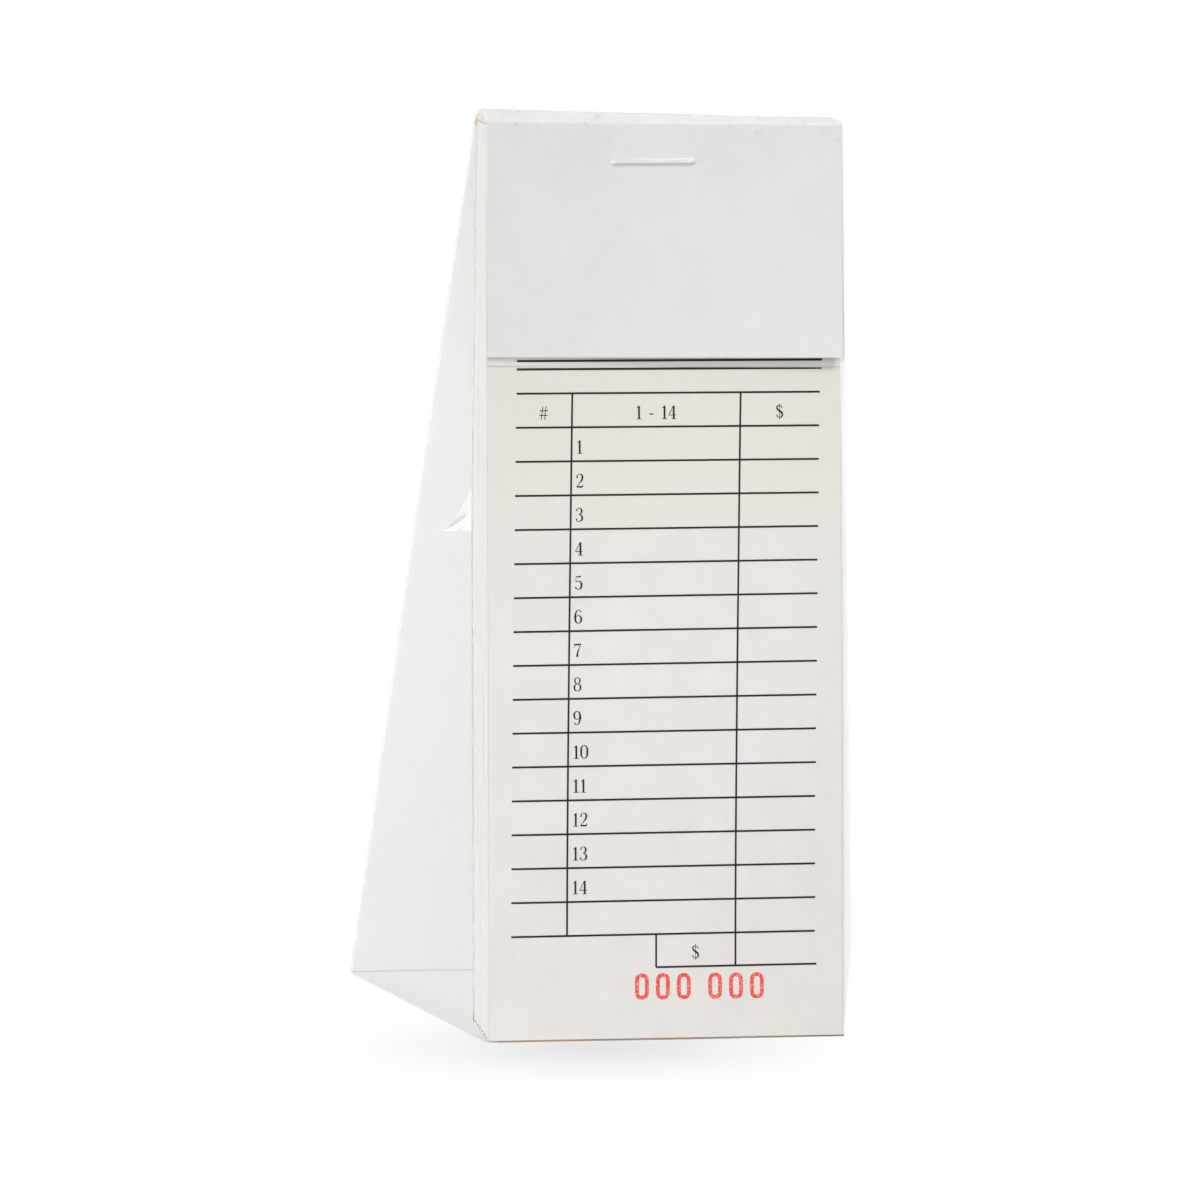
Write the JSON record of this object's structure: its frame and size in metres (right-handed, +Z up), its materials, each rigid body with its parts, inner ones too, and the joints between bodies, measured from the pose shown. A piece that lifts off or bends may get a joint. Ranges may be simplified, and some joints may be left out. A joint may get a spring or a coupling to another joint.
{
  "type": "ticket book",
  "caption": "Stapled ticket pad in a wrap-over card cover: front flap lifts, first ticket leaves turn up at the tear line, and the back cover swings out as an easel leg.",
  "frame": {"origin": "on the floor under the middle of the standing book's footprint", "axes": "+Z up, +X to the right of the ticket's face, -Y out of the ticket's face; the leg stands towards +Y"},
  "size_m": [0.0652, 0.0664, 0.1521],
  "materials": {
    "ticket_original": "uncoated warm white form paper with printed rules",
    "ticket_duplicate": "uncoated cool white copy paper",
    "ticket_stack": "cut edges of white form papers",
    "cover_card": "smooth uncoated white cover card",
    "board": "raw grey-brown chipboard",
    "liner_paper": "thin white liner paper",
    "staple_wire": "galvanised flat staple wire",
    "glue": "dried amber binding glue"
  },
  "bodies": {
    "pad": {"original_1_stub": "ticket_original", "duplicate_1_stub": "ticket_duplicate", "original_2": "ticket_original", "duplicate_2": "ticket_duplicate", "ticket_bundle_1": "ticket_stack", "ticket_bundle_2": "ticket_stack", "ticket_bundle_3": "ticket_stack", "ticket_bundle_4": "ticket_stack", "ticket_bundle_5": "ticket_stack", "ticket_bundle_6": "ticket_stack", "ticket_bundle_7": "ticket_stack", "ticket_bundle_8": "ticket_stack", "backing_board": "board", "rear_liner": "liner_paper", "staple": "staple_wire", "head_glue": "glue", "band_glue": "glue", "cover_band": "cover_card", "cover_spine": "cover_card"},
    "duplicate_leaf": {"duplicate_1_leaf": "ticket_duplicate"},
    "original_leaf": {"original_1_leaf": "ticket_original"},
    "flap": {"cover_flap": "cover_card"},
    "leg": {"back_cover": "cover_card"}
  },
  "joints": [
    {"name": "duplicate_turn", "type": "hinge", "parent": "pad", "child": "duplicate_leaf", "pos_m": [0, -0.01658, 0.11059], "axis": [-1, 0, 0], "range_deg": [0, 65]},
    {"name": "original_turn", "type": "hinge", "parent": "duplicate_leaf", "child": "original_leaf", "pos_m": [0, -0.01667, 0.11059], "axis": [-1, 0, 0], "range_deg": [0, 75]},
    {"name": "flap_lift", "type": "hinge", "parent": "pad", "child": "flap", "pos_m": [0, -0.01281, 0.1381], "axis": [-1, 0, 0], "range_deg": [0, 115]},
    {"name": "leg_swing", "type": "hinge", "parent": "pad", "child": "leg", "pos_m": [0, -0.00513, 0.15078], "axis": [1, 0, 0], "range_deg": [-20.39, 130]}
  ]
}
